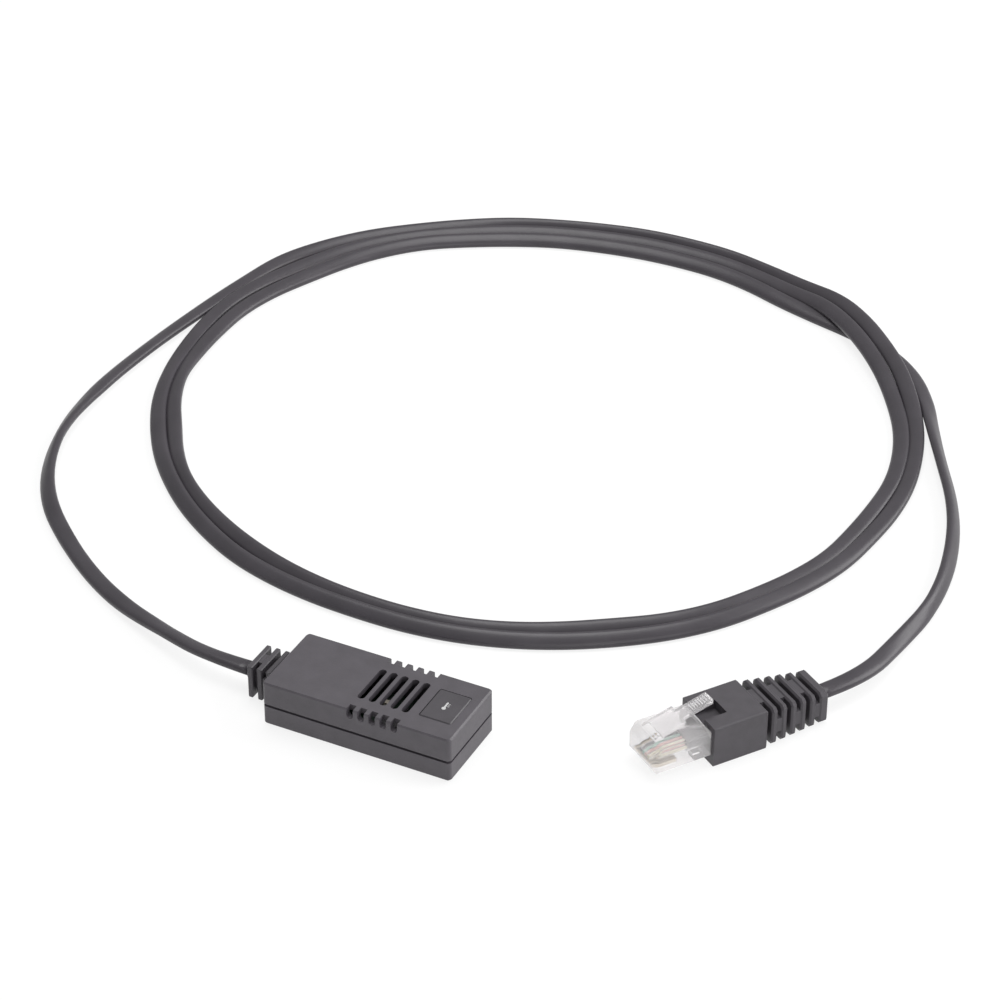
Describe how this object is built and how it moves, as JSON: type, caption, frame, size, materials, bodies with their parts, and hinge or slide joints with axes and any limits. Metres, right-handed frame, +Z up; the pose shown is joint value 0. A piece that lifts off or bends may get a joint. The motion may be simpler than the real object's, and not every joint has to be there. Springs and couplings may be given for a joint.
{
  "type": "rack temperature sensor",
  "caption": "Small vented sensor head on a coiled flat black cable that ends in a clear modular plug with a ribbed boot; reports air temperature in an equipment rack.",
  "frame": {"origin": "centre of the head's flat underside", "axes": "+X along the head from the cable end to the closed end, +Y across it towards the coil, +Z up"},
  "size_m": [0.2283, 0.2377, 0.0141],
  "materials": {
    "head_plastic": "fine moulded texture",
    "moulded_vinyl": "satin",
    "cable_vinyl": "satin",
    "clear_plastic": "clear",
    "contact_gold": "plated",
    "board_laminate": "solder mask",
    "chip_resin": "moulded",
    "capacitor_ceramic": "ceramic",
    "resistor_film": "glazed",
    "wire_yellow": "smooth",
    "wire_red": "smooth",
    "wire_green": "smooth",
    "wire_black": "smooth"
  },
  "bodies": {
    "root": {"upper_shell": "head_plastic", "lower_shell": "head_plastic", "circuit_board": "board_laminate", "temperature_chip": "chip_resin", "bypass_capacitor": "capacitor_ceramic", "pull_up_resistor_1": "resistor_film", "pull_up_resistor_2": "resistor_film", "strain_relief": "moulded_vinyl", "head_jacket": "cable_vinyl", "sensor_lead": "cable_vinyl", "cable_coil": "cable_vinyl", "plug_lead": "cable_vinyl", "plug_boot": "moulded_vinyl", "plug_jacket": "cable_vinyl", "plug_body": "clear_plastic", "contact_1": "contact_gold", "contact_2": "contact_gold", "contact_3": "contact_gold", "contact_4": "contact_gold", "contact_5": "contact_gold", "contact_6": "contact_gold", "contact_7": "contact_gold", "contact_8": "contact_gold", "plug_conductor_1": "wire_yellow", "plug_conductor_2": "wire_red", "plug_conductor_3": "wire_green", "plug_conductor_4": "wire_black", "head_conductor_1": "wire_yellow", "head_conductor_2": "wire_red", "head_conductor_3": "wire_green", "head_conductor_4": "wire_black"}
  },
  "joints": []
}
